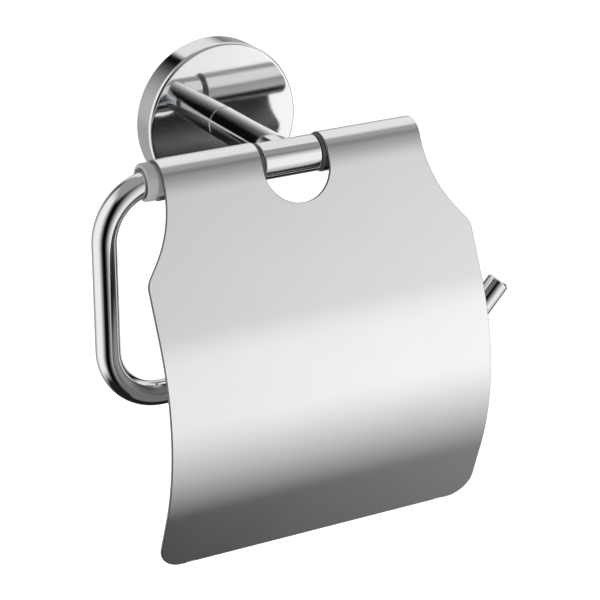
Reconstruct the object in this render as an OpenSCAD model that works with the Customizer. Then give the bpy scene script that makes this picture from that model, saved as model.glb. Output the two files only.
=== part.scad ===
// Wall-mounted toilet paper holder with a bent bar and a swinging sheet cover.
// Frame: +X to the right of a person who faces the wall, -Y out of the wall, +Z up.
// The origin is the centre of the rosette on the wall plane, y = 0.

/* [Rosette] */
// Outer diameter of the round wall rosette
rosette_d = 54; // [46:1:70]
// Distance from the wall to the edge of the rosette's face
rosette_depth = 10; // [9:0.5:16]
// Thickness of the rosette's side wall
rosette_wall = 2; // [1.5:0.1:3]
// Thickness of the rosette's face at its edge
rosette_face = 2; // [1.5:0.1:2.5]
// How far the face rises from its edge to its centre
rosette_crown = 0.4; // [0.1:0.1:1]
// Radius of the soft edge between face and side
rosette_edge_r = 1.2; // [0.4:0.1:1.4]

/* [Wall bracket] */
// Thickness of the bracket's back plate
bracket_plate = 2.5; // [2:0.5:3]
// Gap between the bracket's rim and the inside of the rosette's face
bracket_gap = 1.5; // [1:0.1:2]
// Thickness of the bracket's rim
bracket_rim_wall = 2.5; // [2:0.1:3]
// Distance between the two wall screw holes
wall_hole_spacing = 30; // [26:1:32]
// Diameter of the wall screw holes
wall_hole_d = 4.5; // [3.5:0.1:5]

/* [Post] */
// Diameter of the post between rosette and bar
post_d = 11; // [10:0.5:11.5]
// Distance from the wall to the axis of the bar
projection = 52.5; // [44:0.5:80]
// Diameter of the spigot that centres the post in the rosette
post_spigot_d = 8; // [7.5:0.1:8.5]

/* [Hub] */
// Diameter of the sleeve that carries the bar
hub_d = 12; // [12:0.5:12.5]
// Length of the sleeve
hub_l = 20.2; // [16:0.2:28]
// Diameter of the neck that plugs into the post
hub_neck_d = 8; // [7.5:0.1:8.5]
// Length of the neck beyond the sleeve's surface
hub_neck_l = 8; // [6:0.5:10]

/* [Bar] */
// Diameter of the bent bar
bar_d = 8; // [7:0.5:9.5]
// Gap between the cover's side and the bar's upright leg
leg_gap = 1.6; // [1:0.1:6]
// Height between the axes of the upper and the lower run
bar_drop = 71; // [55:1:100]
// Radius of the two large bends, on the bar's axis
bend_r = 18; // [14:0.5:20]
// How far the lower run goes past the cover's side before the tip turns up
tip_reach = 6.6; // [4:0.2:16]
// Angle of the tip above the horizontal
tip_angle = 47; // [30:1:60]
// Radius of the tip's bend, on the bar's axis
tip_bend_r = 11; // [9:0.5:16]
// Length of the tip beyond its bend
tip_l = 13.8; // [8:0.2:24]
// Chamfer on the ends of the bar
bar_chamfer = 0.6; // [0.2:0.1:1.2]

/* [Cover] */
// Full width of the cover
cover_w = 116.4; // [100:0.2:140]
// How far the rolled top edge ends inside the cover's side
neck_inset = 12; // [10:0.2:14]
// Thickness of the sheet
sheet = 1; // [0.8:0.1:1.2]
// Outer diameter of the rolled edge
curl_d = 13; // [12.8:0.1:15.6]
// Lean of the upper flat, measured from the vertical
upper_slope = 24; // [18:1:30]
// Length of the upper flat
upper_flat = 49.2; // [42:0.2:60]
// Outer radius of the bend across the cover
cover_bend_r = 79; // [65:1:95]
// Angle of the bend across the cover
cover_bend = 44.7; // [36:0.1:50]
// Length of the lower flat
lower_flat = 21.6; // [16:0.2:36]
// Radius of the two bottom corners
corner_r = 8.5; // [4:0.5:14]
// Distance from the rolled edge's axis down to the notch's centre
notch_drop = 3.6; // [2:0.1:6]
// Radius of the concave sweep below the neck
flare_r = 40; // [30:1:50]
// Angle of the flare against the neck
flare_angle = 36; // [30:1:40]
// Distance from the rolled edge's axis down to the start of the flare
flare_start = 2; // [0:0.5:4]
// Radius of the shoulders
shoulder_r = 6; // [3:0.5:9]

/* [Bushes] */
// Length of a bush inside the rolled edge
bush_sleeve_l = 12; // [8:0.5:16]
// How far the left end bush stands out of the rolled edge
end_flange_l = 4.6; // [3:0.1:6]
// Thickness of the flanges beside the hub
hub_flange_l = 1.3; // [0.8:0.1:2.5]
// How much smaller the flanges are in radius than the rolled edge
flange_inset = 0.4; // [0.1:0.1:0.8]
// Depth of the groove between the left flange and the rolled edge
flange_groove = 1.2; // [0.6:0.1:1.6]

/* [Fits] */
// Radial clearance of the bushes on the bar
running_fit = 0.05; // [0.02:0.01:0.1]
// Radial clearance between pieces that are pushed together
push_fit = 0.05; // [0.02:0.01:0.1]
// Clearance between the inner bushes and the hub's ends
end_play = 0.3; // [0.2:0.05:0.6]
// Radial clearance of the rosette on the bracket
slip_fit = 0.2; // [0.1:0.05:0.4]
// Radial clearance of the tie screw in the post
tie_fit = 0.3; // [0.2:0.05:0.5]

/* [Screws] */
// Diameter of the tie screw through the post
tie_d = 5; // [4:0.5:5]
// Diameter of the tie screw's head
tie_head_d = 8.5; // [7:0.1:9]
// Height of the tie screw's head
tie_head_h = 4.5; // [3:0.1:4.8]
// Thickness of the lock washer under the head
washer_t = 1; // [0.8:0.1:1.2]
// Diameter of the lock screw in the rosette
lock_d = 4; // [3:0.5:4.5]
// Length of the lock screw in the rosette
lock_l = 5; // [4.6:0.1:6]
// Diameter of the set screw in the hub
set_d = 3; // [2.5:0.5:4]
// Depth of the set screw's seat in the bar
set_seat = 0.5; // [0.3:0.1:0.8]
// Distance of the set screw from the hub's middle
set_offset = 7.6; // [7:0.1:8]
// Angle of the set screw, from straight down towards the wall
set_angle = 50; // [35:1:60]

/* [Hidden] */
$fn = 96;

chrome = [0.83, 0.84, 0.85];
satin_steel = [0.72, 0.72, 0.72];
zinc = [0.6, 0.61, 0.63];
grey_plastic = [0.62, 0.63, 0.65];
eps = 0.01;
far = 200;
screw_room = 0.2; // radial room of a screw in a hole it only passes through
end_room = 0.5; // room at the blind end of a spigot or a neck
driver_room = 5.5; // extra width of the bracket's middle hole over the tie screw's head
tie_end = 0.3; // room past the end of the tie screw
screw_sink = 0.3; // how far the lock screw and the set screw sit below the surface
lock_margin = 0.65; // distance from the lock screw's side to the edge of the bracket's rim
spigot_play = 0.2; // room between the end of the post's spigot and the lock washer

rosette_r = rosette_d / 2;
face_r = rosette_r - rosette_edge_r;
dome_steps = 12;
rosette_bore_r = post_spigot_d / 2 + push_fit;
cavity_r = rosette_r - rosette_wall;
cavity_depth = rosette_depth - rosette_face;
seat_y = rosette_depth + rosette_crown;
bracket_r = cavity_r - slip_fit;
bracket_rim_h = cavity_depth - bracket_gap;
lock_y = bracket_rim_h - lock_d / 2 - lock_margin;
centre_hole_d = tie_head_d + driver_room;

bar_r = bar_d / 2;
hub_r = hub_d / 2;
bore_r = bar_r + running_fit;
curl_r = curl_d / 2;
curl_in = curl_r - sheet;
sleeve_r = curl_in - push_fit;
flange_r = curl_r - flange_inset;
cover_half = cover_w / 2;
neck_half = cover_half - neck_inset;
notch_r = hub_l / 2 + end_play + hub_flange_l;
curl_gap_angle = 75;
side_nip = 0.02; // how far the shoulder arcs run past the sides, so that they end in a clean corner
washer_r = tie_head_d / 2 + 0.6;
washer_split = 0.8;
hub_chamfer = 0.3;
hub_wall = 1.5;
set_gap = 0.05;
tip_step = 0.01; // how much smaller the tip is in radius than the bend it leaves
tip_overlap = 0.05; // how far the tip reaches into that bend
post_bore_d = tie_d + 2 * tie_fit;
tie_hole_start = bar_r + hub_wall;

tie_len = projection - tie_hole_start - tie_end - cavity_depth + washer_t;
leg_offset = cover_half + leg_gap + bar_r;
tip_start = cover_half + tip_reach;
set_l = hub_r - bar_r + set_seat - set_gap - screw_sink;
lower_run_start = bend_r - leg_offset;
bar_end = neck_half - 1;

// The left end bush widens where the bar's bend starts inside it.
bend_in_bush = max(0, neck_half + end_flange_l + lower_run_start);
mouth_l = bend_in_bush + 0.6;
mouth_flare = bend_r - sqrt(pow(bend_r, 2) - pow(bend_in_bush, 2)) + 0.2;

// Corner points of the flare, as distance from the middle and distance down the flat.
sweep_end_x = neck_half + flare_r * (1 - cos(flare_angle));
sweep_end_s = flare_start + flare_r * sin(flare_angle);
shoulder_x = cover_half - shoulder_r + side_nip;
shoulder_run = shoulder_r + (shoulder_x - sweep_end_x) * cos(flare_angle);
shoulder_s = sweep_end_s + shoulder_run / sin(flare_angle);
shoulder_start_x = shoulder_x + shoulder_r * cos(flare_angle);
shoulder_start_s = shoulder_s - shoulder_r * sin(flare_angle);

// Places children, drawn with their axis on Z, with that axis on -Y.
module outward() {
    rotate([90, 0, 0]) children();
}

// Places children, drawn with their axis on Z, with that axis on +X.
module along_x() {
    rotate([0, 90, 0]) children();
}

// Moves children from the hinge axis to the bar's place in front of the wall.
module at_bar() {
    translate([0, -projection, 0]) children();
}

// A rod along Z with chamfered ends.
module chamfered_rod(r, h, c) {
    rotate_extrude()
        polygon([[0, 0], [r - c, 0], [r, c], [r, h - c], [r - c, h], [0, h]]);
}

// A grub screw along +Z from z = 0, with a hexagon socket in its top and a cone point below.
module grub_screw(d, h, key) {
    difference() {
        union() {
            translate([0, 0, d / 4]) cylinder(d = d, h = h - d / 4);
            cylinder(d1 = d / 2, d2 = d, h = d / 4);
        }
        translate([0, 0, h - d / 2]) cylinder(d = key, h = d, $fn = 6);
    }
}

module wall_bracket() {
    color(zinc)
        difference() {
            union() {
                outward() cylinder(r = bracket_r, h = bracket_plate);
                outward()
                    difference() {
                        cylinder(r = bracket_r, h = bracket_rim_h);
                        translate([0, 0, -1])
                            cylinder(r = bracket_r - bracket_rim_wall, h = bracket_rim_h + 2);
                    }
            }
            translate([0, 1, 0]) outward() cylinder(d = centre_hole_d, h = bracket_plate + 2);
            for (side = [-1, 1])
                translate([side * wall_hole_spacing / 2, 1, 0])
                    outward() cylinder(d = wall_hole_d, h = bracket_plate + 2);
            translate([0, -lock_y, -bracket_r - 1])
                cylinder(r = lock_d / 2 + slip_fit, h = bracket_rim_wall + 2);
        }
}

// The domed face from its centre to its edge; its rise falls with the square of the radius.
dome_line = [
    for (i = [0:dome_steps])
        [face_r * i / dome_steps, rosette_depth + rosette_crown * (1 - pow(i / dome_steps, 2))]
];

// The rosette's outside, with its axis on Z: a disc, the soft edge and the domed face.
module rosette_blank() {
    edge_h = rosette_depth - rosette_edge_r;
    cylinder(r = rosette_r, h = edge_h);
    translate([0, 0, edge_h]) rotate_extrude() translate([face_r, 0]) circle(r = rosette_edge_r);
    rotate_extrude() polygon(concat([[0, bracket_plate]], dome_line, [[face_r, bracket_plate]]));
}

module rosette() {
    color(chrome)
        difference() {
            outward()
                difference() {
                    rosette_blank();
                    translate([0, 0, -1]) cylinder(r = cavity_r, h = cavity_depth + 1);
                    cylinder(r = rosette_bore_r, h = seat_y + 1);
                }
            translate([0, -lock_y, -rosette_r - 1])
                cylinder(r = lock_d / 2 + push_fit, h = rosette_wall + 2);
        }
}

module rosette_lock_screw() {
    color(zinc)
        translate([0, -lock_y, -rosette_r + screw_sink + lock_l])
            rotate([180, 0, 0]) grub_screw(lock_d, lock_l, lock_d / 2);
}

module post() {
    color(chrome)
        difference() {
            union() {
                translate([0, -seat_y, 0])
                    outward() cylinder(d = post_d, h = projection - seat_y);
                translate([0, -cavity_depth - spigot_play, 0])
                    outward() cylinder(d = post_spigot_d, h = seat_y - cavity_depth);
            }
            at_bar() along_x() cylinder(d = hub_d, h = far, center = true);
            outward() cylinder(d = post_bore_d, h = projection);
            translate([0, -projection, 0])
                rotate([-90, 0, 0])
                    cylinder(r = hub_neck_d / 2 + push_fit, h = hub_r + hub_neck_l + end_room);
        }
}

module tie_screw() {
    head_y = cavity_depth - washer_t;
    color(zinc)
        difference() {
            union() {
                translate([0, tie_head_h - head_y, 0])
                    outward() cylinder(d = tie_head_d, h = tie_head_h);
                translate([0, -head_y, 0]) outward() cylinder(d = tie_d, h = tie_len);
            }
            translate([0, tie_head_h - head_y + 1, 0])
                outward() cylinder(d = 0.9 * tie_d, h = tie_head_h / 2 + 1, $fn = 6);
        }
}

module lock_washer() {
    color(zinc)
        translate([0, washer_t - cavity_depth, 0])
            outward()
                difference() {
                    cylinder(r = washer_r, h = washer_t);
                    translate([0, 0, -1]) cylinder(r = tie_d / 2 + screw_room, h = washer_t + 2);
                    translate([0, -washer_split / 2, -1])
                        cube([2 * washer_r, washer_split, washer_t + 2]);
                }
}

module hub() {
    color(chrome)
        difference() {
            union() {
                at_bar()
                    along_x()
                        translate([0, 0, -hub_l / 2]) chamfered_rod(hub_r, hub_l, hub_chamfer);
                at_bar() rotate([-90, 0, 0]) cylinder(d = hub_neck_d, h = hub_r + hub_neck_l);
            }
            at_bar() along_x() cylinder(r = bar_r + push_fit, h = far, center = true);
            translate([0, tie_hole_start - projection, 0])
                rotate([-90, 0, 0]) cylinder(r = tie_d / 2 + push_fit, h = far);
            at_bar()
                translate([set_offset, 0, 0])
                    rotate([180 + set_angle, 0, 0]) cylinder(r = set_d / 2 + push_fit, h = far);
        }
}

module hub_set_screw() {
    color(zinc)
        at_bar()
            translate([set_offset, 0, 0])
                rotate([180 + set_angle, 0, 0])
                    translate([0, 0, bar_r - set_seat + set_gap])
                        grub_screw(set_d, set_l, set_d / 2);
}

// One bend of the bar: a quarter turn or less about the point (x, z), from the angle a0.
module bar_bend(x, z, r, a0, turn) {
    translate([x, 0, z])
        rotate([90, 0, 0])
            rotate([0, 0, a0])
                rotate_extrude(angle = turn) translate([r, 0]) circle(r = bar_r);
}

module bar() {
    color(chrome)
        at_bar()
            difference() {
                union() {
                    translate([lower_run_start, 0, 0])
                        along_x() bar_run(bar_r, bar_end - lower_run_start);
                    bar_bend(lower_run_start, -bend_r, bend_r, 90, 90);
                    translate([-leg_offset, 0, bend_r - bar_drop])
                        cylinder(r = bar_r, h = bar_drop - 2 * bend_r);
                    bar_bend(lower_run_start, bend_r - bar_drop, bend_r, 180, 90);
                    translate([lower_run_start, 0, -bar_drop])
                        along_x() cylinder(r = bar_r, h = tip_start - lower_run_start);
                    bar_bend(tip_start, tip_bend_r - bar_drop, tip_bend_r, 270, tip_angle);
                    translate([tip_start, 0, tip_bend_r - bar_drop])
                        rotate([0, -tip_angle, 0])
                            translate([-tip_overlap, 0, -tip_bend_r])
                                along_x() bar_run(bar_r - tip_step, tip_l + tip_overlap);
                }
                translate([set_offset, 0, 0])
                    rotate([180 + set_angle, 0, 0])
                        translate([0, 0, bar_r - set_seat])
                            cylinder(r = set_d / 2 + screw_room, h = bar_r);
            }
}

// A straight run along Z whose far end is chamfered.
module bar_run(r, h) {
    rotate_extrude()
        polygon([[0, 0], [r, 0], [r, h - bar_chamfer], [r - bar_chamfer, h], [0, h]]);
}

// Section of the cover in a plane across the hinge, with the upper flat hanging straight down.
// Across: distance outwards from the hinge axis. Up: height above the hinge axis.
module cover_section() {
    pivot = [curl_r - cover_bend_r, -upper_flat];
    difference() {
        circle(r = curl_r);
        circle(r = curl_in);
        polygon([
            [0, 0],
            [far * cos(curl_gap_angle), -far * sin(curl_gap_angle)],
            [far, -far],
            [far, 0]
        ]);
    }
    translate([curl_in, -upper_flat]) square([sheet, upper_flat + eps]);
    translate(pivot)
        intersection() {
            difference() {
                circle(r = cover_bend_r, $fn = 360);
                circle(r = cover_bend_r - sheet, $fn = 360);
            }
            polygon([[0, 0], [far, 0], [far * cos(cover_bend), -far * sin(cover_bend)]]);
        }
    translate(pivot)
        rotate(-cover_bend)
            translate([cover_bend_r - sheet, -lower_flat]) square([sheet, lower_flat + eps]);
}

// Moves children, drawn with X along the hinge and Y up the sheet, to the upper flat.
module on_upper_flat() {
    rotate([-upper_slope, 0, 0]) rotate([90, 0, 0]) children();
}

// The same for the lower flat, with y = 0 at its top edge.
module on_lower_flat() {
    rotate([-upper_slope, 0, 0])
        translate([0, cover_bend_r - curl_r, -upper_flat])
            rotate([cover_bend, 0, 0]) rotate([90, 0, 0]) children();
}

// What is cut away beside the neck and the flare, on the side of positive X.
module flare_cut() {
    difference() {
        polygon([
            [neck_half, curl_d],
            [neck_half, -flare_start],
            [sweep_end_x, -sweep_end_s],
            [shoulder_start_x, -shoulder_start_s],
            [shoulder_x + shoulder_r, -shoulder_s],
            [far, -shoulder_s],
            [far, curl_d]
        ]);
        translate([shoulder_x, -shoulder_s]) circle(r = shoulder_r);
    }
    translate([neck_half + flare_r, -flare_start])
        intersection() {
            circle(r = flare_r, $fn = 180);
            polygon([
                [0, 0],
                [-far, 0],
                [-far * cos(flare_angle), -far * sin(flare_angle)]
            ]);
        }
}

// What is cut away at a bottom corner, on the side of positive X.
module corner_cut() {
    difference() {
        translate([cover_half - corner_r, -lower_flat - 1]) square([corner_r + 1, corner_r + 1]);
        translate([cover_half - corner_r, corner_r - lower_flat]) circle(r = corner_r);
    }
}

module notch_cut() {
    translate([0, -notch_drop]) circle(r = notch_r);
    translate([-notch_r, -notch_drop]) square([2 * notch_r, far]);
}

module cover() {
    reach = 4 * curl_d;
    color(satin_steel)
        at_bar()
            difference() {
                rotate([-upper_slope, 0, 0])
                    rotate([90, 0, -90])
                        translate([0, 0, -cover_half]) linear_extrude(cover_w) cover_section();
                on_upper_flat() linear_extrude(reach, center = true) notch_cut();
                for (side = [0, 1]) {
                    mirror([side, 0, 0]) {
                        on_upper_flat() linear_extrude(reach, center = true) flare_cut();
                        on_lower_flat() linear_extrude(3 * far, center = true) corner_cut();
                        curl_end_cut();
                    }
                }
                rotate([-upper_slope, 0, 0])
                    translate([-notch_r, -curl_in, -curl_d])
                        cube([2 * notch_r, 2 * curl_d, 2 * curl_d]);
            }
}

// Squares off the end of the rolled edge behind the sheet.
module curl_end_cut() {
    rotate([-upper_slope, 0, 0])
        translate([neck_half, -curl_in, -curl_d]) cube([far, 2 * curl_d, 2 * curl_d]);
}

// Left end bush: a sleeve in the rolled edge and a rounded flange outside it.
module bush_end_left() {
    edge = 1; // radius of the flange's outer edge
    color(grey_plastic)
        at_bar()
            translate([-neck_half, 0, 0])
                along_x()
                    rotate_extrude()
                        difference() {
                            union() {
                                translate([0, -end_flange_l]) square([sleeve_r, bush_sleeve_l + end_flange_l]);
                                translate([0, edge - end_flange_l])
                                    square([flange_r, end_flange_l - edge - flange_groove]);
                                translate([0, -end_flange_l]) square([flange_r - edge, edge]);
                                translate([flange_r - edge, edge - end_flange_l]) circle(r = edge);
                            }
                            translate([-far, -far]) square([far + bore_r, 2 * far]);
                            polygon([
                                [0, -end_flange_l - 1],
                                [bore_r + mouth_flare, -end_flange_l - 1],
                                [bore_r + mouth_flare, -end_flange_l],
                                [bore_r, mouth_l - end_flange_l]
                            ]);
                        }
}

// Inner bush, drawn for the right side: a sleeve in the rolled edge and a flange beside the hub.
module inner_bush() {
    start = hub_l / 2 + end_play;
    color(grey_plastic)
        at_bar()
            along_x()
                rotate_extrude()
                    difference() {
                        union() {
                            translate([0, start]) square([flange_r, notch_r - start]);
                            translate([0, start]) square([sleeve_r, notch_r - start + bush_sleeve_l]);
                        }
                        translate([-far, 0]) square([far + bore_r, far]);
                    }
}

module bush_inner_left() {
    mirror([1, 0, 0]) inner_bush();
}

module bush_inner_right() {
    inner_bush();
}

// Right end bush: closed, so that it caps the end of the bar flush with the rolled edge.
module bush_end_cap() {
    color(grey_plastic)
        at_bar()
            along_x()
                rotate_extrude()
                    difference() {
                        translate([0, neck_half - bush_sleeve_l]) square([sleeve_r, bush_sleeve_l]);
                        translate([-far, -far]) square([far + bore_r, far + bar_end + screw_room]);
                        translate([-far, -far]) square([far, 2 * far]);
                    }
}

wall_bracket();
rosette();
rosette_lock_screw();
post();
tie_screw();
lock_washer();
hub();
hub_set_screw();
bar();
cover();
bush_end_left();
bush_inner_left();
bush_inner_right();
bush_end_cap();
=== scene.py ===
"""The finished look of a wall-mounted toilet paper holder with a swinging cover.

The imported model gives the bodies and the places. Each sub-assembly is a class that works
out its own surfaces with numpy, in millimetres, and dresses them in its finish.
X runs to the right along the wall, -Y comes out of the wall and Z is up.
"""

import logging
import math
from collections.abc import Callable, Sequence
from dataclasses import dataclass, field
from enum import Enum, IntEnum

import bmesh
import bpy
import numpy as np
from mathutils import Euler, Matrix


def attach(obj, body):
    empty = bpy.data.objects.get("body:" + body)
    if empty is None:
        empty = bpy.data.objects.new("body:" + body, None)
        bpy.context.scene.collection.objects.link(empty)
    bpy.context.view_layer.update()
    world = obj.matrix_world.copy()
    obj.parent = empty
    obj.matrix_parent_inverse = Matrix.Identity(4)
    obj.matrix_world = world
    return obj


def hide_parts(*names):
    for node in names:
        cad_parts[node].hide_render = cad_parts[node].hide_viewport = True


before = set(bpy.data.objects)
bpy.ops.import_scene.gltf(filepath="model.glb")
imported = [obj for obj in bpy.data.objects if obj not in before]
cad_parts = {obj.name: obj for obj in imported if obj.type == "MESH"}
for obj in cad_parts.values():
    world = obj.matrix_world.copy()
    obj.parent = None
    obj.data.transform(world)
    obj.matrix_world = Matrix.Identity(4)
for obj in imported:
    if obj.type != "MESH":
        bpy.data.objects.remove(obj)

LOG = logging.getLogger("paper_holder")
MM = 0.001
AXIS_OUT = 52.5  # distance from the wall to the axis that the cover swings on
WELD = 1e-6  # points closer than this, in metres, become one
SLIVER = 1e-7  # edges shorter than this, in metres, go
CREASE = 35.0  # edges that turn more than this many degrees stay sharp
DRILL_SIDES = 48

Colour = tuple[float, float, float]
Socket = bpy.types.NodeSocket
Tree = bpy.types.NodeTree
Part = bpy.types.Object


class Body(Enum):
    """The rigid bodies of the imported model."""

    HOLDER = "holder"
    COVER = "cover_flap"


class Axis(Enum):
    """The directions that a turned piece's axis can have."""

    RIGHT = "to the right"
    OUT = "out of the wall"


class Ramp(Enum):
    """How a ramp goes from 0 to 1: with soft ends or evenly."""

    SOFT = "SMOOTHSTEP"
    EVEN = "LINEAR"


class Side(IntEnum):
    """The sides of the cover's sheet, as places in its list of materials."""

    FRONT = 0
    BACK = 1
    RIM = 2


# ---------------------------------------------------------------- surfaces


def grid_faces(
    rows: int, cols: int, wrap_rows: bool = False, wrap_cols: bool = False
) -> np.ndarray:
    """Four corners for each cell of a grid whose points are numbered row by row.

    Args:
        rows: How many rows of points there are.
        cols: How many points a row has.
        wrap_rows: Whether the last row joins the first.
        wrap_cols: Whether the last point of a row joins its first.

    Returns:
        An array of quads, one row of four point numbers each.
    """
    i, j = np.meshgrid(
        np.arange(rows if wrap_rows else rows - 1),
        np.arange(cols if wrap_cols else cols - 1),
        indexing="ij",
    )
    i2, j2 = (i + 1) % rows, (j + 1) % cols
    corners = [i * cols + j, i2 * cols + j, i2 * cols + j2, i * cols + j2]
    return np.stack(corners, -1).reshape(-1, 4)


def arc(cx: float, cy: float, r: float, start: float, end: float, steps: int) -> np.ndarray:
    """Points on an arc in a plane.

    A point lies at the centre plus r times (cosine, sine) of an angle that runs evenly
    from start to end.

    Args:
        cx: First coordinate of the centre.
        cy: Second coordinate of the centre.
        r: Radius of the arc.
        start: First angle, in degrees.
        end: Last angle, in degrees.
        steps: Number of segments.

    Returns:
        An array of steps + 1 points.
    """
    t = np.radians(np.linspace(start, end, steps + 1))
    return np.stack([cx + r * np.cos(t), cy + r * np.sin(t)], -1)


def turned(
    profile: np.ndarray, origin: Sequence[float], axis: Axis, sides: int = 128
) -> tuple[np.ndarray, np.ndarray]:
    """A turned solid: a closed profile carried round an axis.

    The point of a profile pair (r, h) at angle t is the origin, plus h along the axis, plus
    r times (cosine t, sine t) along the other two directions.

    Args:
        profile: Closed loop of (radius, height) pairs.
        origin: A point on the axis, in millimetres.
        axis: Direction of the axis.
        sides: Number of steps round the axis.

    Returns:
        Points and quads.
    """
    t = np.linspace(0, 2 * np.pi, sides, endpoint=False)[:, None]
    r, h = profile[None, :, 0], profile[None, :, 1]
    across, up, along = r * np.cos(t), r * np.sin(t), h + 0 * t
    if axis is Axis.RIGHT:
        points = np.stack([along, across, up], -1)
    else:
        points = np.stack([across, -along, up], -1)
    points = points.reshape(-1, 3) + np.asarray(origin, float)
    return points, grid_faces(sides, len(profile), True, True)


def mesh_piece(name: str, points: np.ndarray, quads: np.ndarray, crease: float = CREASE) -> Part:
    """Makes an object from points in millimetres, joined where they meet and facing outwards.

    Args:
        name: The piece's name.
        points: Array of points.
        quads: Array of faces.
        crease: Edges that turn more than this many degrees stay sharp.

    Returns:
        The new object, at the origin.
    """
    mesh = bpy.data.meshes.new(name)
    mesh.from_pydata((points * MM).tolist(), [], quads.tolist())
    bm = bmesh.new()
    bm.from_mesh(mesh)
    bmesh.ops.remove_doubles(bm, verts=bm.verts, dist=WELD)
    bmesh.ops.dissolve_degenerate(bm, edges=bm.edges, dist=SLIVER)
    bmesh.ops.recalc_face_normals(bm, faces=bm.faces)
    bm.to_mesh(mesh)
    bm.free()
    mesh.shade_smooth()
    mesh.set_sharp_from_angle(angle=math.radians(crease))
    piece = bpy.data.objects.new(name, mesh)
    bpy.context.scene.collection.objects.link(piece)
    return piece


def drill(
    piece: Part, start: Sequence[float], toward: Sequence[float], r: float, depth: float
) -> None:
    """Cuts a round hole into a piece.

    The cutter's rim is r times (cosine u + sine v), where u and v lie square to its axis.

    Args:
        piece: The piece to cut.
        start: A point on the hole's axis outside the piece, in millimetres.
        toward: Direction of the hole from there.
        r: Radius of the hole, in millimetres.
        depth: Length of the cut from the start, in millimetres.
    """
    w = np.asarray(toward, float) / np.linalg.norm(toward)
    u = np.cross(w, [1.0, 0, 0] if abs(w[0]) < 0.9 else [0, 1.0, 0])
    u /= np.linalg.norm(u)
    v = np.cross(w, u)
    t = np.linspace(0, 2 * np.pi, DRILL_SIDES, endpoint=False)[:, None]
    ring = r * (np.cos(t) * u + np.sin(t) * v)
    base = np.asarray(start, float)
    end = base + depth * w
    rows = np.stack([base + 0 * ring, base + ring, base + ring + depth * w, end + 0 * ring], 1)
    quads = grid_faces(DRILL_SIDES, 4, True, False)
    cutter = mesh_piece(piece.name + ".cutter", rows.reshape(-1, 3), quads)
    cut = piece.modifiers.new("hole", "BOOLEAN")
    cut.operation, cut.object, cut.solver = "DIFFERENCE", cutter, "EXACT"
    bpy.context.view_layer.update()
    graph = bpy.context.evaluated_depsgraph_get()
    mesh = bpy.data.meshes.new_from_object(piece.evaluated_get(graph))
    piece.modifiers.clear()
    piece.data = mesh
    mesh.shade_smooth()
    mesh.set_sharp_from_angle(angle=math.radians(CREASE))
    bpy.data.objects.remove(cutter)


# ---------------------------------------------------------------- finishes


def new_group(name: str, inputs: dict[str, float], outputs: Sequence[str]) -> Tree:
    """Starts a shader node group that takes and gives numbers.

    Args:
        name: The group's name.
        inputs: Name and default value of each number it takes.
        outputs: Name of each number it gives.

    Returns:
        The group, with its input and output nodes in place.
    """
    tree = bpy.data.node_groups.new(name, "ShaderNodeTree")
    for key, value in inputs.items():
        socket = tree.interface.new_socket(key, in_out="INPUT", socket_type="NodeSocketFloat")
        socket.default_value = value
    for key in outputs:
        tree.interface.new_socket(key, in_out="OUTPUT", socket_type="NodeSocketFloat")
    tree.nodes.new("NodeGroupInput").name = "in"
    tree.nodes.new("NodeGroupOutput").name = "out"
    return tree


def math_node(
    tree: Tree,
    kind: str,
    a: Socket | float,
    b: Socket | float | None = None,
    c: Socket | float | None = None,
) -> Socket:
    """Adds a Math node.

    Args:
        tree: The tree that gets it.
        kind: The operation.
        a: First socket or number.
        b: Second socket or number, if it has one.
        c: Third socket or number, if it has one.

    Returns:
        The result's socket.
    """
    node = tree.nodes.new("ShaderNodeMath")
    node.operation = kind
    for slot, value in enumerate((a, b, c)):
        if isinstance(value, Socket):
            tree.links.new(value, node.inputs[slot])
        elif value is not None:
            node.inputs[slot].default_value = value
    return node.outputs[0]


def noise(
    tree: Tree, scale: Socket | float, stretch: Sequence[float] = (1, 1, 1), detail: float = 3.0
) -> Socket:
    """A noise pattern on object coordinates, in features per metre.

    Args:
        tree: The tree that gets it.
        scale: Number or socket: how many features a metre has.
        stretch: How much denser the pattern is along X, Y and Z.
        detail: How many finer layers it has.

    Returns:
        The pattern's value, about 0.5 on average.
    """
    where = tree.nodes.new("ShaderNodeTexCoord")
    fit = tree.nodes.new("ShaderNodeMapping")
    fit.inputs["Scale"].default_value = stretch
    tree.links.new(where.outputs["Object"], fit.inputs["Vector"])
    node = tree.nodes.new("ShaderNodeTexNoise")
    node.inputs["Detail"].default_value = detail
    tree.links.new(fit.outputs[0], node.inputs["Vector"])
    if isinstance(scale, Socket):
        tree.links.new(scale, node.inputs["Scale"])
    else:
        node.inputs["Scale"].default_value = scale
    return node.outputs["Fac"]


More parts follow.
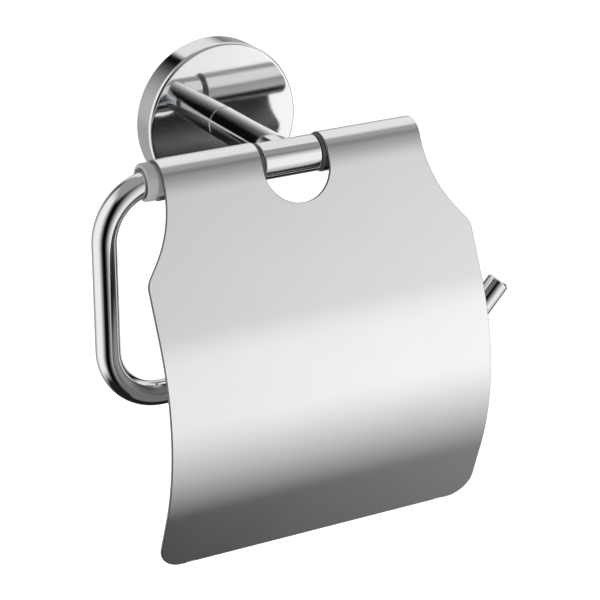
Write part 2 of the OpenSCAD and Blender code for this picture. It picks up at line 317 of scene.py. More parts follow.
def polish_marks() -> Tree:
    """The group for wiped and handled metal: soft smudges in the gloss and hair-fine wipe marks.

    The roughness is the base, plus the smudges times their share, plus the marks. A mark is
    the fifth power of a stretched noise, so only its crests are left.

    Returns:
        A group with a Roughness and a Height.
    """
    name = "polish_marks"
    if name in bpy.data.node_groups:
        return bpy.data.node_groups[name]
    tree = new_group(
        name,
        {"Base": 0.05, "Smudge": 0.02, "Marks": 0.01},
        ("Roughness", "Height"),
    )
    smudges, hairs, ripples = 42.0, 900.0, 130.0  # features per metre
    given, out = tree.nodes["in"], tree.nodes["out"]
    smudge = noise(tree, smudges, detail=4.0)
    uneven = math_node(tree, "SUBTRACT", smudge, 0.5)
    soft = math_node(tree, "MULTIPLY", uneven, given.outputs["Smudge"])
    hair = noise(tree, hairs, (0.06, 1.0, 1.0), 2.0)
    hair_cut = math_node(tree, "POWER", hair, 5.0)
    marks = math_node(tree, "MULTIPLY", hair_cut, given.outputs["Marks"])
    rough = math_node(tree, "ADD", math_node(tree, "ADD", given.outputs["Base"], soft), marks)
    tree.links.new(math_node(tree, "MAXIMUM", rough, 0.01), out.inputs["Roughness"])
    ripple = noise(tree, ripples, detail=1.0)
    height = math_node(tree, "ADD", ripple, math_node(tree, "MULTIPLY", hair_cut, 0.1))
    tree.links.new(height, out.inputs["Height"])
    return tree


def fine_grain() -> Tree:
    """The group for moulded and plated skins: a fine even grain and slow tone changes.

    Returns:
        A group with a Grain and a Tone.
    """
    name = "fine_grain"
    if name in bpy.data.node_groups:
        return bpy.data.node_groups[name]
    tree = new_group(name, {"Scale": 2500.0}, ("Grain", "Tone"))
    given, out = tree.nodes["in"], tree.nodes["out"]
    grain = noise(tree, given.outputs["Scale"], detail=2.0)
    tree.links.new(grain, out.inputs["Grain"])
    tree.links.new(noise(tree, 60.0, detail=3.0), out.inputs["Tone"])
    return tree


def place_group(tree: Tree, group: Tree, **values: float) -> bpy.types.Node:
    """Puts a node group into a material.

    Args:
        tree: The material's tree.
        group: The group.
        **values: A value for each input that differs from its default.

    Returns:
        The group's node.
    """
    node = tree.nodes.new("ShaderNodeGroup")
    node.node_tree = group
    for key, value in values.items():
        node.inputs[key].default_value = value
    return node


def mix_colours(tree: Tree, share: Socket, low: Colour, high: Colour) -> Socket:
    """Mixes two colours.

    Args:
        tree: The tree that gets the node.
        share: Mask from 0 to 1.
        low: Colour at 0.
        high: Colour at 1.

    Returns:
        The mixed colour.
    """
    node = tree.nodes.new("ShaderNodeMix")
    node.data_type = "RGBA"
    node.inputs["A"].default_value = (*low, 1.0)
    node.inputs["B"].default_value = (*high, 1.0)
    tree.links.new(share, node.inputs["Factor"])
    return node.outputs["Result"]


def soft_step(
    tree: Tree, value: Socket, start: float, end: float, ramp: Ramp = Ramp.SOFT
) -> Socket:
    """A ramp from 0 to 1, held at 0 before it and at 1 after it.

    Args:
        tree: The tree that gets the node.
        value: What is measured.
        start: Value at which the ramp is 0.
        end: Value at which the ramp is 1.
        ramp: How it goes from 0 to 1.

    Returns:
        The ramp's socket.
    """
    node = tree.nodes.new("ShaderNodeMapRange")
    node.interpolation_type = ramp.value
    tree.links.new(value, node.inputs["Value"])
    node.inputs["From Min"].default_value = start
    node.inputs["From Max"].default_value = end
    return node.outputs["Result"]


def bump(tree: Tree, height: Socket, distance: float) -> Socket:
    """A bumped normal.

    Args:
        tree: The material's tree.
        height: Height of the surface.
        distance: Metres that a height of 1 stands for.

    Returns:
        The normal.
    """
    node = tree.nodes.new("ShaderNodeBump")
    node.inputs["Distance"].default_value = distance
    node.inputs["Strength"].default_value = 1.0
    tree.links.new(height, node.inputs["Height"])
    return node.outputs["Normal"]


@dataclass(frozen=True)
class Finish:
    """What every finish has: a name, and a material that is made once and then shared."""

    name: str

    def material(self) -> bpy.types.Material:
        """The finish's material.

        Returns:
            The material, made at the first call.
        """
        if self.name in bpy.data.materials:
            return bpy.data.materials[self.name]
        made = bpy.data.materials.new(self.name)
        made.use_nodes = True
        self.fill(made.node_tree, made.node_tree.nodes["Principled BSDF"])
        return made

    def fill(self, tree: Tree, skin: bpy.types.Node) -> None:
        """Sets the shader up; each finish has its own way.

        Args:
            tree: The material's tree.
            skin: Its shader.
        """
        raise NotImplementedError


@dataclass(frozen=True)
class PolishedChrome(Finish):
    """Bright nickel and chrome plate, buffed, with faint wipe marks."""

    name: str = "polished_chrome"
    dull: Colour = (0.80, 0.81, 0.82)
    bright: Colour = (0.88, 0.89, 0.90)
    gloss: float = 0.045
    smudge: float = 0.03
    marks: float = 0.25
    relief: float = 2e-6

    def fill(self, tree: Tree, skin: bpy.types.Node) -> None:
        """Sets the shader up.

        Args:
            tree: The material's tree.
            skin: Its shader.
        """
        skin.inputs["Metallic"].default_value = 1.0
        amounts = {"Base": self.gloss, "Smudge": self.smudge, "Marks": self.marks}
        marks = place_group(tree, polish_marks(), **amounts)
        tree.links.new(marks.outputs["Roughness"], skin.inputs["Roughness"])
        tree.links.new(bump(tree, marks.outputs["Height"], self.relief), skin.inputs["Normal"])
        tone = mix_colours(tree, noise(tree, 55.0, detail=3.0), self.dull, self.bright)
        tree.links.new(tone, skin.inputs["Base Color"])


@dataclass(frozen=True)
class SatinSheet(Finish):
    """Plated sheet with a soft satin face, faintly drawn along its width.

    The painted shade is a darker line painted into the colour where the flat sheet runs into
    its rolled edge, standing in for the dark reflection there. Its fades are heights up the sheet
    from the hinge's level, in metres: where it starts and is full from below, and where it is full
    and ends above.
    """

    name: str = "satin_sheet"
    dull: Colour = (0.89, 0.887, 0.885)
    bright: Colour = (0.93, 0.927, 0.925)
    rough: float = 0.22
    slope: float = 24.0
    # painted shade near the roll: how much it darkens the colour, and the heights where it fades in
    # and out
    painted_shade: float = 0.5
    painted_shade_below: tuple[float, float] = (-0.0075, 0.0004)
    painted_shade_above: tuple[float, float] = (0.0002, 0.0018)
    relief: float = 4e-7

    def painted_roll_shade(self, tree: Tree) -> Socket:
        """The painted shade's mask: 1 in its middle and fading out on both sides.

        The height up the sheet is the dot product of the object coordinates with the sheet's
        own upward direction, less that of the hinge's axis.

        Args:
            tree: The material's tree.

        Returns:
            The mask's socket.
        """
        a = math.radians(self.slope)
        where = tree.nodes.new("ShaderNodeTexCoord")
        dot = tree.nodes.new("ShaderNodeVectorMath")
        dot.operation = "DOT_PRODUCT"
        tree.links.new(where.outputs["Object"], dot.inputs[0])
        dot.inputs[1].default_value = (0.0, math.sin(a), math.cos(a))
        up = math_node(tree, "ADD", dot.outputs["Value"], AXIS_OUT * MM * math.sin(a))
        rise = soft_step(tree, up, *self.painted_shade_below)
        fall = soft_step(tree, up, *self.painted_shade_above[::-1])
        return math_node(tree, "MULTIPLY", rise, fall)

    def fill(self, tree: Tree, skin: bpy.types.Node) -> None:
        """Sets the shader up.

        Args:
            tree: The material's tree.
            skin: Its shader.
        """
        skin.inputs["Metallic"].default_value = 1.0
        marks = place_group(tree, polish_marks(), Base=self.rough, Smudge=0.05, Marks=0.05)
        tree.links.new(marks.outputs["Roughness"], skin.inputs["Roughness"])
        drawn = noise(tree, 1500.0, (0.03, 1.0, 1.0), 3.0)
        tree.links.new(bump(tree, drawn, self.relief), skin.inputs["Normal"])
        tone = mix_colours(tree, noise(tree, 35.0, detail=4.0), self.dull, self.bright)
        # painted shade: the colour is darkened along the line where the flat sheet meets its roll
        if self.painted_shade:
            shade = mix_colours(tree, self.painted_roll_shade(tree), (1, 1, 1), (1 - self.painted_shade,) * 3)
            both = tree.nodes.new("ShaderNodeMix")
            both.data_type, both.blend_type = "RGBA", "MULTIPLY"
            both.inputs["Factor"].default_value = 1.0
            tree.links.new(tone, both.inputs["A"])
            tree.links.new(shade, both.inputs["B"])
            tone = both.outputs["Result"]
        tree.links.new(tone, skin.inputs["Base Color"])


@dataclass(frozen=True)
class GrainySkin(Finish):
    """A skin with a fine even grain, which sets its roughness and relief, and a mottled tone."""

    low: Colour
    high: Colour
    metallic: float
    specular: float
    scale: float
    rough: float
    rough_range: float
    relief: float

    def fill(self, tree: Tree, skin: bpy.types.Node) -> None:
        """Sets the shader up.

        Args:
            tree: The material's tree.
            skin: Its shader.
        """
        skin.inputs["Metallic"].default_value = self.metallic
        skin.inputs["Specular IOR Level"].default_value = self.specular
        grain = place_group(tree, fine_grain(), Scale=self.scale)
        tone = mix_colours(tree, grain.outputs["Tone"], self.low, self.high)
        tree.links.new(tone, skin.inputs["Base Color"])
        value = grain.outputs["Grain"]
        rough = math_node(tree, "MULTIPLY_ADD", value, self.rough_range, self.rough)
        tree.links.new(rough, skin.inputs["Roughness"])
        tree.links.new(bump(tree, value, self.relief), skin.inputs["Normal"])


@dataclass(frozen=True)
class ZincPlate(GrainySkin):
    """Dull zinc plate of screws and brackets, with a mottled tone."""

    name: str = "zinc_plate"
    low: Colour = (0.45, 0.46, 0.48)
    high: Colour = (0.66, 0.67, 0.70)
    metallic: float = 1.0
    specular: float = 0.5
    scale: float = 1200.0
    rough: float = 0.28
    rough_range: float = 0.2
    relief: float = 8e-6


@dataclass(frozen=True)
class GreyPlastic(GrainySkin):
    """Light grey moulded plastic with a fine eroded skin."""

    name: str = "grey_plastic"
    low: Colour = (0.47, 0.475, 0.475)
    high: Colour = (0.58, 0.585, 0.585)
    metallic: float = 0.0
    specular: float = 0.45
    scale: float = 3000.0
    rough: float = 0.38
    rough_range: float = 0.18
    relief: float = 1.2e-5


def dress(piece: Part, finish: Finish, body: Body, node: str) -> Part:
    """Gives a new piece its finish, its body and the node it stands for.

    Args:
        piece: The new piece.
        finish: What it is made of.
        body: The body it moves with.
        node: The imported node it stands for.

    Returns:
        The piece.
    """
    piece.data.materials.clear()
    piece.data.materials.append(finish.material())
    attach(piece, body.value)
    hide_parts(node)
    return piece


# ---------------------------------------------------------------- sub-assemblies


@dataclass
class WallRosette:
    """The round rosette that stands on the wall and hides the bracket."""

    d: float = 54.0
    depth: float = 10.0
    wall: float = 2.0
    face: float = 2.0
    crown: float = 0.4
    edge_r: float = 1.2
    bore_r: float = 4.05
    screw_y: float = 3.85
    screw_r: float = 2.05
    dome_steps: int = 39
    finish: PolishedChrome = field(default_factory=PolishedChrome)

    def profile(self) -> np.ndarray:
        """Half section: rim, side, soft edge, domed face, bore and cavity.

        The dome's height over the edge falls with the square of the radius.

        Returns:
            Pairs of radius and distance from the wall.
        """
        r, face_r = self.d / 2, self.d / 2 - self.edge_r
        rad = np.linspace(face_r, self.bore_r, self.dome_steps + 1)[1:]
        dome = np.stack([rad, self.depth + self.crown * (1 - (rad / face_r) ** 2)], -1)
        inner = self.d / 2 - self.wall
        back = self.depth - self.face
        side = np.linspace(0.4, self.depth - self.edge_r - 0.2, 6)
        return np.concatenate(
            [
                [[inner, 0.0], [inner + 0.2, 0.0], [r - 0.25, 0.0], [r - 0.07, 0.07], [r, 0.25]],
                np.stack([np.full(6, r), side], -1),
                arc(face_r, self.depth - self.edge_r, self.edge_r, 0, 90, 16),
                dome,
                [[self.bore_r, back], [inner - 0.3, back], [inner, back - 0.3]],
            ]
        )

    def build(self) -> Part:
        """Makes the rosette with the hole for its lock screw.

        Returns:
            The rosette.
        """
        points, quads = turned(self.profile(), (0, 0, 0), Axis.OUT, 192)
        piece = mesh_piece("wall_rosette", points, quads, 30)
        below = (0, -self.screw_y, -self.d / 2 - 1)
        drill(piece, below, (0, 0, 1), self.screw_r, self.wall + 2)
        return dress(piece, self.finish, Body.HOLDER, "rosette")


@dataclass
class Post:
    """The round post between the rosette's face and the hub."""

    d: float = 11.0
    seat: float = 10.4
    foot: float = 0.35
    hub_r: float = 6.0
    sides: int = 128
    finish: PolishedChrome = field(default_factory=PolishedChrome)

    def build(self) -> Part:
        """Makes the post.

        At angle t a point has the radius r times (cosine t, sine t) in X and Z. Its end follows the
        hub: the distance from the hub's axis is the root of the hub's radius squared less the
        point's height squared. Each step of the section has a radius, its share of the way from
        the seat to the hub, and its rise over that.

        Returns:
            The post.
        """
        r = self.d / 2
        foot = [(0.0, 0.0, 0.0), (2.5, 0.0, 0.0), (r - self.foot, 0.0, 0.0), (r, 0.0, self.foot)]
        head = [(r, 0.5, 0.0), (r, 1.0, 0.0), (4.0, 1.0, 0.0), (2.0, 1.0, 0.0), (0.0, 1.0, 0.0)]
        radius, share, rise = np.array(foot + head).T
        t = np.linspace(0, 2 * np.pi, self.sides, endpoint=False)[:, None]
        x, z = radius * np.cos(t), radius * np.sin(t)
        end = AXIS_OUT - np.sqrt(self.hub_r**2 - z**2)
        out = self.seat + rise + (end - self.seat) * share
        points = np.stack([x, -out, z], -1).reshape(-1, 3)
        quads = grid_faces(self.sides, len(radius), True, False)
        piece = mesh_piece("post_tube", points, quads, 30)
        return dress(piece, self.finish, Body.HOLDER, "post")


@dataclass
class Hub:
    """The sleeve on the post's end that holds the bar."""

    r: float = 6.0
    length: float = 20.2
    chamfer: float = 0.35
    bore_r: float = 4.03
    screw_x: float = 7.6
    screw_r: float = 1.55
    screw_angle: float = 50.0
    screw_depth: float = 4.2
    finish: PolishedChrome = field(default_factory=PolishedChrome)

    def build(self) -> Part:
        """Makes the sleeve, with softened ends and the hole for its set screw.

        Returns:
            The sleeve.
        """
        half, c, mouth = self.length / 2, self.chamfer, 0.15
        bore, wide = self.bore_r, self.bore_r + mouth
        lip = arc(self.r - c, half - c, c, 0, 90, 6)
        profile = np.concatenate(
            [
                np.stack([np.full(9, self.r), np.linspace(-half + 1, half - 1, 9)], -1),
                lip,
                [[wide, half], [bore, half - mouth], [bore, mouth - half], [wide, -half]],
                np.stack([lip[::-1, 0], -lip[::-1, 1]], -1),
            ]
        )
        points, quads = turned(profile, (0, -AXIS_OUT, 0), Axis.RIGHT, 128)
        piece = mesh_piece("hub_sleeve", points, quads, 40)
        a = math.radians(self.screw_angle)
        way = np.array([0, -math.sin(a), math.cos(a)])
        start = np.array([self.screw_x, -AXIS_OUT, 0]) - way * (self.r + 2)
        drill(piece, start, way, self.screw_r, self.screw_depth)
        return dress(piece, self.finish, Body.HOLDER, "hub")


@dataclass
class BentBar:
    """The bar: an upper run through the hub, a leg, a lower run for the roll and a turned tip."""

    r: float = 4.0
    end_x: float = 45.2
    leg_x: float = -63.8
    drop: float = 71.0
    bend_r: float = 18.0
    tip_start: float = 64.8
    tip_bend_r: float = 11.0
    tip_angle: float = 47.0
    tip_l: float = 13.8
    chamfer: float = 0.6
    sides: int = 96
    finish: PolishedChrome = field(default_factory=PolishedChrome)

    def path(self) -> tuple[np.ndarray, np.ndarray]:
        """The bar's centre line in its own plane.

        Straight runs join arcs that they are tangent to; an arc's point is its centre plus its
        radius at an angle that runs evenly.

        Returns:
            Points (x, z), and the heading at each in degrees.
        """
        near, x0, low = self.bend_r - self.drop, self.bend_r + self.leg_x, -self.drop
        top = arc(x0, -self.bend_r, self.bend_r, 90, 180, 40)
        bottom = arc(x0, near, self.bend_r, 180, 270, 40)
        tip_r, turn = self.tip_bend_r, self.tip_angle
        tip = arc(self.tip_start, tip_r + low, tip_r, 270, 270 + turn, 28)
        a = math.radians(turn)
        run = np.linspace(0, self.tip_l - self.chamfer, 6)[1:, None] * [[math.cos(a), math.sin(a)]]
        upper = np.stack([np.linspace(self.end_x - self.chamfer, x0, 12)[:-1], np.zeros(11)], -1)
        leg = np.stack([np.full(4, self.leg_x), np.linspace(-self.bend_r, near, 6)[1:-1]], -1)
        lower = np.stack([np.linspace(x0, self.tip_start, 14)[1:-1], np.full(12, low)], -1)
        line = np.concatenate([upper, top, leg, bottom, lower, tip, tip[-1] + run])
        heading = np.concatenate(
            [
                np.full(len(upper), 180.0),
                np.linspace(180, 270, len(top)),
                np.full(len(leg), 270.0),
                np.linspace(270, 360, len(bottom)),
                np.full(len(lower), 360.0),
                np.linspace(360, 360 + turn, len(tip)),
                np.full(len(run), 360 + turn),
            ]
        )
        return line, heading

    def build(self) -> Part:
        """Carries a circle along the path.

        A surface point is the path's point, plus r cosine t across the heading in the bar's plane,
        plus r sine t out of the plane. The ends close over a small chamfer.

        Returns:
            The bar.
        """
        line, heading = self.path()
        way = np.stack([np.cos(np.radians(heading)), np.sin(np.radians(heading))], -1)
        first, last = line[0] - way[0] * self.chamfer, line[-1] + way[-1] * self.chamfer
        line = np.concatenate([[first, first, first], line, [last, last, last]])
        way = np.concatenate([way[:1], way[:1], way[:1], way, way[-1:], way[-1:], way[-1:]])
        closed = [0, 1.6, self.r - self.chamfer]
        size = np.concatenate([closed, np.full(len(line) - 6, self.r), closed[::-1]])
        t = np.linspace(0, 2 * np.pi, self.sides, endpoint=False)[None, :]
        across = size[:, None] * np.cos(t)
        x = line[:, :1] - way[:, 1:] * across
        z = line[:, 1:] + way[:, :1] * across
        y = -AXIS_OUT + size[:, None] * np.sin(t)
        points = np.stack([x, y, z], -1).reshape(-1, 3)
        piece = mesh_piece("bent_bar", points, grid_faces(len(line), self.sides, False, True))
        return dress(piece, self.finish, Body.HOLDER, "bar")


@dataclass
class SwingCover:
    """The sheet that hangs from the bar's upper run and lies over the front of the roll."""

    width: float = 116.4
    neck_w: float = 92.4
    sheet: float = 1.0
    curl_d: float = 13.0
    slope: float = 24.0
    flat: float = 49.2
    bend_r: float = 79.0
    bend: float = 44.7
    lower: float = 21.6
    corner_r: float = 8.5
    notch_r: float = 11.7
    notch_drop: float = 3.6
    flare_r: float = 40.0
    flare_angle: float = 36.0
    flare_start: float = 2.0
    shoulder_r: float = 6.0
    curl_turn: float = 285.0
    edge_r: float = 0.25
    rolled_steps: int = 43
    across_steps: int = 32
    finish: SatinSheet = field(default_factory=SatinSheet)
    back: SatinSheet = SatinSheet(
        "satin_back", (0.42, 0.42, 0.42), (0.49, 0.49, 0.488), rough=0.24, painted_shade=0.0
    )
    # painted shade: the rim's dark colour draws the thin dark lines along the sheet's edges
    rim: PolishedChrome = PolishedChrome(
        "painted_shade_sheet_edge", (0.20, 0.20, 0.21), (0.30, 0.30, 0.31), gloss=0.25
    )

    def on_sheet(self, x: np.ndarray, s: np.ndarray, lift: float = 0.0) -> np.ndarray:
        """The sheet's surface: x along the hinge and s down the sheet from the hinge's level.

        Below 0 the sheet is rolled: its angle is minus s over the roll's radius. From 0 it is
        straight, then it turns on the cover's bend by (s - flat) over the bend's radius, and ends
        straight again. The whole section is then leaned by the slope.

        Args:
            x: Distances from the middle.
            s: Distances down the sheet's middle layer.
            lift: Distance outwards from the middle layer.

        Returns:
            Points, in millimetres.
        """
        roll = (self.curl_d - self.sheet) / 2
        big = self.bend_r - self.sheet / 2
        turn = math.radians(self.bend)
        theta = np.clip(-s / roll, 0, None)
        alpha = np.clip((s - self.flat) / big, 0, turn)
        rest = np.clip(s - self.flat - big * turn, 0, None)
        down = np.clip(s, 0, self.flat)
        inner, outer = roll + lift, big + lift
        out = inner * np.cos(theta) - outer * (1 - np.cos(alpha)) - rest * np.sin(alpha)
        up = inner * np.sin(theta) - down - outer * np.sin(alpha) - rest * np.cos(alpha)
        a = math.radians(self.slope)
        y = -AXIS_OUT - out * math.cos(a) + up * math.sin(a)
        return np.stack([x, y, out * math.sin(a) + up * math.cos(a)], -1)

    def outline(self) -> tuple[np.ndarray, np.ndarray]:
        """Matching points (x, s) down the inner and the outer edge of the right half.

        The inner edge is the notch's circle and then the middle line. The outer edge is the neck, a
        concave sweep, a straight flare, the shoulder's arc, the side and the corner's arc.

        Returns:
            The inner and the outer points.
        """
        roll = (self.curl_d - self.sheet) / 2
        curl_l = roll * math.radians(self.curl_turn)
        half, neck = self.width / 2, self.neck_w / 2
        a = math.radians(self.flare_angle)
        total = self.flat + (self.bend_r - self.sheet / 2) * math.radians(self.bend) + self.lower
        flare, r, corner_r = self.flare_r, self.shoulder_r, self.corner_r
        sweep_x = neck + flare * (1 - math.cos(a))
        sweep_s = self.flare_start + flare * math.sin(a)
        sx = half - r
        ss = sweep_s + (r + (sx - sweep_x) * math.cos(a)) / math.sin(a)
        rolled = np.linspace(-curl_l, 0, self.rolled_steps + 1)[:-1]
        notch = arc(0, self.notch_drop, self.notch_r, 0, 90, 24)
        neck_s = np.linspace(0, self.flare_start, 3)[:-1]
        sweep = arc(neck + flare, self.flare_start, flare, 180, 180 - self.flare_angle, 18)
        shoulder = arc(sx, ss, r, -self.flare_angle, 0, 8)
        line = np.linspace(sweep[-1], shoulder[0], 4)[1:-1]
        side = np.stack([np.full(60, half), np.linspace(ss, total - corner_r, 61)[1:]], -1)
        corner = arc(half - corner_r, total - corner_r, corner_r, 0, 90, 14)[1:]
        top = np.stack([np.full(2, neck), neck_s], -1)
        outer = np.concatenate([top, sweep, line, shoulder, side, corner])
        rest = len(outer) - 3 - len(notch)
        middle_s = np.linspace(notch[-1, 1], total, rest + 1)[1:]
        notch_side = [0, self.notch_drop / 3, 2 * self.notch_drop / 3]
        inner_s = np.concatenate([notch_side, notch[:, 1], middle_s])
        inner_x = np.concatenate([np.full(3, self.notch_r), notch[:, 0], np.zeros(rest)])
        inner = np.stack([inner_x, inner_s], -1)
        curl_in = np.stack([np.full(self.rolled_steps, self.notch_r), rolled], -1)
        curl_out = np.stack([np.full(self.rolled_steps, neck), rolled], -1)
        return np.concatenate([curl_in, inner]), np.concatenate([curl_out, outer])

    def build(self) -> Part:
        """Lays a grid between the two edges on both halves, on both faces, and closes its rim.

        Returns:
            The cover.
        """
        inner, outer = self.outline()
        share = np.linspace(0, 1, self.across_steps + 1)[None, :, None]
        flat = inner[:, None, :] * (1 - share) + outer[:, None, :] * share
        rows, cols = flat.shape[:2]
        parts, faces, start = [], [], 0
        half = self.sheet / 2
        for side in (1, -1):
            front = self.on_sheet(side * flat[..., 0], flat[..., 1], half)
            back = self.on_sheet(side * flat[..., 0], flat[..., 1], -half)
            # one closed ring of points per row: across the front and back again behind it
            ring = np.concatenate([front, back[:, ::-1]], 1)
            parts.append(ring.reshape(-1, 3))
            faces.append(grid_faces(rows, 2 * cols, False, True) + start)
            for row in (0, rows - 1):
                base = start + row * 2 * cols
                near = base + np.arange(cols - 1)
                far = 2 * base + 2 * cols - 1 - near
                faces.append(np.stack([near, near + 1, far - 1, far], -1))
            start += rows * 2 * cols
        points, quads = np.concatenate(parts), np.concatenate(faces)
        # below the notch the two halves share their middle line, so the walls between them go
        middle = (np.abs(points[quads][:, :, 0]) < 1e-6).all(1)
        piece = mesh_piece("swing_cover", points, quads[~middle], 50)
        soft = piece.modifiers.new("soft_edges", "BEVEL")
        soft.width, soft.segments, soft.limit_method = self.edge_r * MM, 3, "ANGLE"
        soft.angle_limit, soft.use_clamp_overlap = math.radians(60), False
        # the rounded edges take the rim's painted-shade colour
        soft.material = Side.RIM
        dress(piece, self.finish, Body.COVER, "cover")
        piece.data.materials.append(self.back.material())
        piece.data.materials.append(self.rim.material())
        self.mark_faces(piece.data)
        return piece

    def mark_faces(self, mesh: bpy.types.Mesh) -> None:
        """Gives each face the finish of the front, the back or the rim.

        The sheet doesn't curve along X, so a face whose normal leans that way is on the rim. So
        is one on the bottom edge, whose normal lies square to the outward direction there. A face
        is on the back when its normal points towards the middle of the roll or, below that, into
        the wall.

        Args:
            mesh: The cover's mesh.
        """
        count = len(mesh.polygons)
        normals, centres = np.empty(3 * count, np.float32), np.empty(3 * count, np.float32)
        mesh.polygons.foreach_get("normal", normals)
        mesh.polygons.foreach_get("center", centres)
        n, c = normals.reshape(-1, 3).astype(float), centres.reshape(-1, 3).astype(float) / MM
        lean = math.radians(self.slope - self.bend)
        outward = np.array([0.0, -math.cos(lean), math.sin(lean)])
        from_axis = c * [0.0, 1.0, 1.0] + [0.0, AXIS_OUT, 0.0]
        rolled = np.linalg.norm(from_axis, axis=1) < self.curl_d / 2 + 0.1
        inward = np.where(rolled, (n * from_axis).sum(1) < 0, n[:, 1] > 0)
        low_end = c[:, 2] < c[:, 2].min() + self.corner_r
        leaning, square = 0.05, 0.5  # a lean along X from here, and square to outward below this
        rim = (np.abs(n[:, 0]) > leaning) | (low_end & (np.abs(n @ outward) < square))
        sides = np.where(rim, Side.RIM, np.where(inward, Side.BACK, Side.FRONT))
        mesh.polygons.foreach_set("material_index", sides.astype(np.int32))


@dataclass
class Bushes:
    """The plastic bushes in the ends of the cover's rolled edge."""

    bore_r: float = 4.05
    sleeve_r: float = 5.45
    flange_r: float = 6.1
    sleeve_l: float = 12.0
    neck_half: float = 46.2
    end_flange_l: float = 4.6
    groove: float = 1.2
    notch_r: float = 11.7
    hub_half: float = 10.1
    end_play: float = 0.3
    mouth_flare: float = 0.9
    finish: GreyPlastic = field(default_factory=GreyPlastic)
    dark: GreyPlastic = GreyPlastic("dark_plastic", (0.07, 0.07, 0.072), (0.11, 0.11, 0.113))

    def turned_bush(
        self, name: str, profile: np.ndarray, finish: GreyPlastic, node: str
    ) -> Part:
        """Turns one bush about the bar's upper run and dresses it.

        Args:
            name: The piece's name.
            profile: Closed loop of (radius, place along the bar).
            finish: What it is made of.
            node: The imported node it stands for.

        Returns:
            The bush.
        """
        points, quads = turned(profile, (0, -AXIS_OUT, 0), Axis.RIGHT, 96)
        return dress(mesh_piece(name, points, quads, 40), finish, Body.COVER, node)

    def end_left(self) -> Part:
        """The left end bush: rounded flange, groove, sleeve in the roll and a widened mouth.

        Returns:
            The bush.
        """
        e, r, neck = 1.0, self.flange_r, -self.neck_half
        out, groove_x = neck - self.end_flange_l, neck - self.groove
        mouth = self.bore_r + self.mouth_flare
        profile = np.concatenate(
            [
                [[mouth - 0.1, out + 0.1], [mouth + 0.1, out]],
                arc(r - e, out + e, e, -90, 0, 8),
                [[r, groove_x - 0.2], [r - 0.2, groove_x], [self.sleeve_r, groove_x]],
                [[self.sleeve_r, neck + self.sleeve_l], [self.bore_r, neck + self.sleeve_l]],
                [[self.bore_r, neck + 1.0]],
            ]
        )
        return self.turned_bush("bush_left_end", profile, self.finish, "bush_end_left")

    def inner(self, side: int) -> Part:
        """An inner bush: a thin flange beside the hub and a sleeve in the rolled edge.

        Args:
            side: 1 for the right one, -1 for the left one.

        Returns:
            The bush.
        """
        start, r, end = self.hub_half + self.end_play, self.flange_r, self.notch_r
        profile = np.array(
            [
                [self.bore_r, start],
                [r - 0.25, start],
                [r - 0.06, start + 0.06],
                [r, start + 0.25],
                [r, end - 0.15],
                [r - 0.15, end],
                [self.sleeve_r, end],
                [self.sleeve_r, end + self.sleeve_l],
                [self.bore_r, end + self.sleeve_l],
            ]
        )
        profile[:, 1] *= side
        word, slot = ("right", "bush_inner_r") if side > 0 else ("left", "bush_inner_l")
        name, node = f"bush_hub_{word}", f"bush_inner_{word}"
        return self.turned_bush(name, profile, self.dark, node)

    def cap(self) -> Part:
        """The right end bush: closed, flush with the rolled edge, with a softened rim.

        Returns:
            The bush.
        """
        end, r, c = self.neck_half, self.sleeve_r, 0.3
        far, floor = end - self.sleeve_l, end - 0.8
        profile = np.concatenate(
            [
                [[0.0, floor], [self.bore_r, floor], [self.bore_r, far], [r, far]],
                arc(r - c, end - c, c, 0, 90, 5),
                [[2.5, end], [0.0, end]],
            ]
        )
        return self.turned_bush("bush_closed_end", profile, self.finish, "bush_end_cap")

    def build(self) -> list[Part]:
        """Makes all four bushes."""
        return [self.end_left(), self.inner(-1), self.inner(1), self.cap()]


@dataclass
class Fixings:
    """The bracket and the screws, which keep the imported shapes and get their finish."""

    names: tuple[str, ...] = (
        "wall_bracket",
        "rosette_lock_screw",
        "tie_screw",
        "lock_washer",
        "hub_set_screw",
    )
    finish: ZincPlate = field(default_factory=ZincPlate)

    def build(self) -> list[Part]:
        """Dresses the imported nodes.

        Returns:
            The nodes.
        """
        made = [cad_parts[name] for name in self.names]
        for node in made:
            node.data.materials.clear()
            node.data.materials.append(self.finish.material())
        return made


# ---------------------------------------------------------------- studio


@dataclass(frozen=True)
class Panel:
    """A soft panel of light in the surroundings, between two directions with faded edges.

    Directions are in degrees: azimuth from straight out of the wall towards the right, and
    elevation above the horizon.
    """

    azimuth: float
    half_width: float
    low: float
    high: float
    light: float
    fade: float = 12.0
    fade_low: float = 12.0
    fade_high: float = 12.0
    fade_right: float | None = None
    ramp: Ramp = Ramp.SOFT

    def value(self, tree: Tree, azimuth: Socket, elevation: Socket) -> Socket:
        """The panel's light: its brightness times a soft step at each of its four edges.

        Args:
            tree: The world's tree.
            azimuth: Socket with the direction's azimuth.
            elevation: Socket with the direction's elevation.

        Returns:
            The light's socket.
        """
        off = math_node(tree, "SUBTRACT", azimuth, self.azimuth)
        off = math_node(tree, "WRAP", off, 180.0, -180.0)
        fade_right = self.fade_right or self.fade
        left = soft_step(tree, off, -self.half_width - self.fade, self.fade - self.half_width)
        right = soft_step(tree, off, self.half_width + fade_right, self.half_width - fade_right)
        across = math_node(tree, "MULTIPLY", left, right)
        low, high = self.low, self.high
        above = soft_step(tree, elevation, low - self.fade_low, low + self.fade_low, self.ramp)
        below = soft_step(tree, elevation, high + self.fade_high, high - self.fade_high)
        shape = math_node(tree, "MULTIPLY", across, math_node(tree, "MULTIPLY", above, below))
        return math_node(tree, "MULTIPLY", shape, self.light)


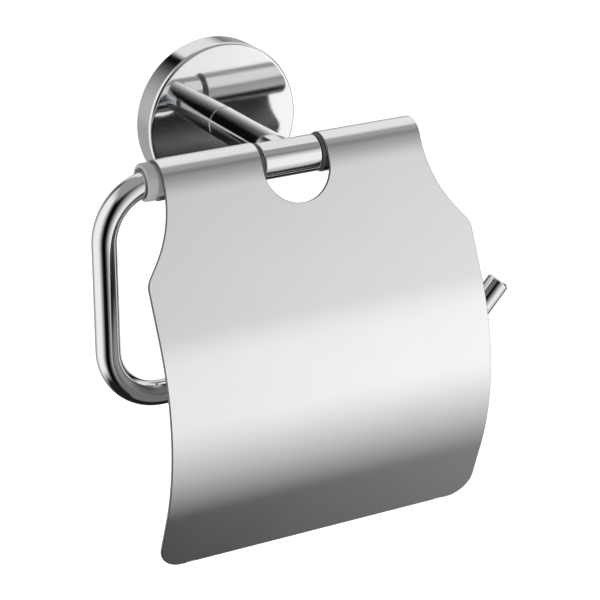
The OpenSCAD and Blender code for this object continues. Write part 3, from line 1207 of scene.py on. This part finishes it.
PANELS = (
    Panel(47, 38, -41, 30, 1.12, 31, fade_right=14, fade_low=22, fade_high=24, ramp=Ramp.EVEN),
    Panel(129, 17, -42, -4, 0.7, 6, fade_low=8, fade_high=8),
    Panel(-106, 44, -50, 55, 1.0, 24, fade_low=10, fade_high=15),
    Panel(180, 40, -45, 12, 0.4, 10, fade_low=10, fade_high=14),
    Panel(130, 51, 14, 80, 0.85, 4, fade_low=8, fade_high=8),
    Panel(0, 200, 38, 100, 0.34, fade_low=10),
    Panel(0, 200, -100, -50, 0.015, fade_high=10),
)


@dataclass
class Studio:
    """A pale floor, soft panels of light round the object, and the camera.

    The camera's place is in metres, and its turn holds the angles about X, Y and Z in degrees.
    """

    floor_z: float = -0.42
    floor_half: float = 9.0
    floor_glow: float = 0.7
    dark: float = 0.003
    backdrop: float = 1.0
    cool: Colour = (0.98, 0.98, 1.0)
    warm: Colour = (1.0, 0.994, 0.985)
    place: tuple[float, float, float] = (-0.36075, -0.7141, 0.24626)
    turn: tuple[float, float, float] = (68.6311, 0.3404, -29.0636)
    lens: float = 149.9

    def camera(self) -> Part:
        """Makes the camera and makes it the scene's.

        Returns:
            The camera.
        """
        data = bpy.data.cameras.new("camera")
        data.lens, data.sensor_width = self.lens, 36.0
        data.clip_start, data.clip_end = 0.05, 60.0
        camera = bpy.data.objects.new("camera", data)
        bpy.context.scene.collection.objects.link(camera)
        turn = Euler([math.radians(angle) for angle in self.turn]).to_matrix()
        camera.matrix_world = Matrix.Translation(self.place) @ turn.to_4x4()
        bpy.context.scene.camera = camera
        return camera

    def floor(self) -> Part:
        """Makes the pale floor, which glows a little and isn't seen in gloss.

        Returns:
            The floor.
        """
        h, z = self.floor_half, self.floor_z
        mesh = bpy.data.meshes.new("floor")
        mesh.from_pydata([(-h, -h, z), (h, -h, z), (h, h, z), (-h, h, z)], [], [(0, 1, 2, 3)])
        floor = bpy.data.objects.new("floor", mesh)
        bpy.context.scene.collection.objects.link(floor)
        paper = bpy.data.materials.new("floor_paper")
        paper.use_nodes = True
        skin = paper.node_tree.nodes["Principled BSDF"]
        skin.inputs["Base Color"].default_value = (0.94, 0.94, 0.94, 1)
        skin.inputs["Roughness"].default_value = 0.9
        skin.inputs["Specular IOR Level"].default_value = 0.0
        skin.inputs["Emission Color"].default_value = (1.0, 1.0, 1.0, 1)
        skin.inputs["Emission Strength"].default_value = self.floor_glow
        mesh.materials.append(paper)
        floor.visible_glossy = False
        return floor

    def sky(self) -> None:
        """Fills the surroundings with the brightest panel of each direction.

        Seen straight on, the surroundings are plain and pale.
        """
        world = bpy.data.worlds.new("panels")
        world.use_nodes = True
        bpy.context.scene.world = world
        tree = world.node_tree
        split = tree.nodes.new("ShaderNodeSeparateXYZ")
        tree.links.new(tree.nodes.new("ShaderNodeTexCoord").outputs["Generated"], split.inputs[0])
        x, y, z = split.outputs
        inward = math_node(tree, "MULTIPLY", y, -1.0)
        azimuth = math_node(tree, "DEGREES", math_node(tree, "ARCTAN2", x, inward))
        elevation = math_node(tree, "DEGREES", math_node(tree, "ARCSINE", z))
        total = self.dark
        for panel in PANELS:
            total = math_node(tree, "MAXIMUM", panel.value(tree, azimuth, elevation), total)
        ray = tree.nodes.new("ShaderNodeLightPath")
        shown = tree.nodes.new("ShaderNodeMix")
        tree.links.new(ray.outputs["Is Camera Ray"], shown.inputs["Factor"])
        tree.links.new(total, shown.inputs["A"])
        shown.inputs["B"].default_value = self.backdrop
        back = tree.nodes["Background"]
        tree.links.new(mix_colours(tree, total, self.cool, self.warm), back.inputs["Color"])
        tree.links.new(shown.outputs["Result"], back.inputs["Strength"])

    def build(self) -> None:
        """Sets up everything that isn't the object."""
        bpy.context.scene.view_settings.view_transform = "Standard"
        self.camera()
        self.floor()
        self.sky()


def main() -> None:
    """Builds the sub-assemblies in order and reports each piece."""
    logging.basicConfig(level=logging.INFO, format="%(message)s")
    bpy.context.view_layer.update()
    Studio().build()
    builders: list[Callable[[], Part | list[Part]]] = [
        WallRosette().build,
        Post().build,
        Hub().build,
        BentBar().build,
        SwingCover().build,
        Bushes().build,
        Fixings().build,
    ]
    for build in builders:
        made = build()
        for piece in made if isinstance(made, list) else [made]:
            LOG.info("%s: %d faces", piece.name, len(piece.data.polygons))


if __name__ == "__main__":
    main()
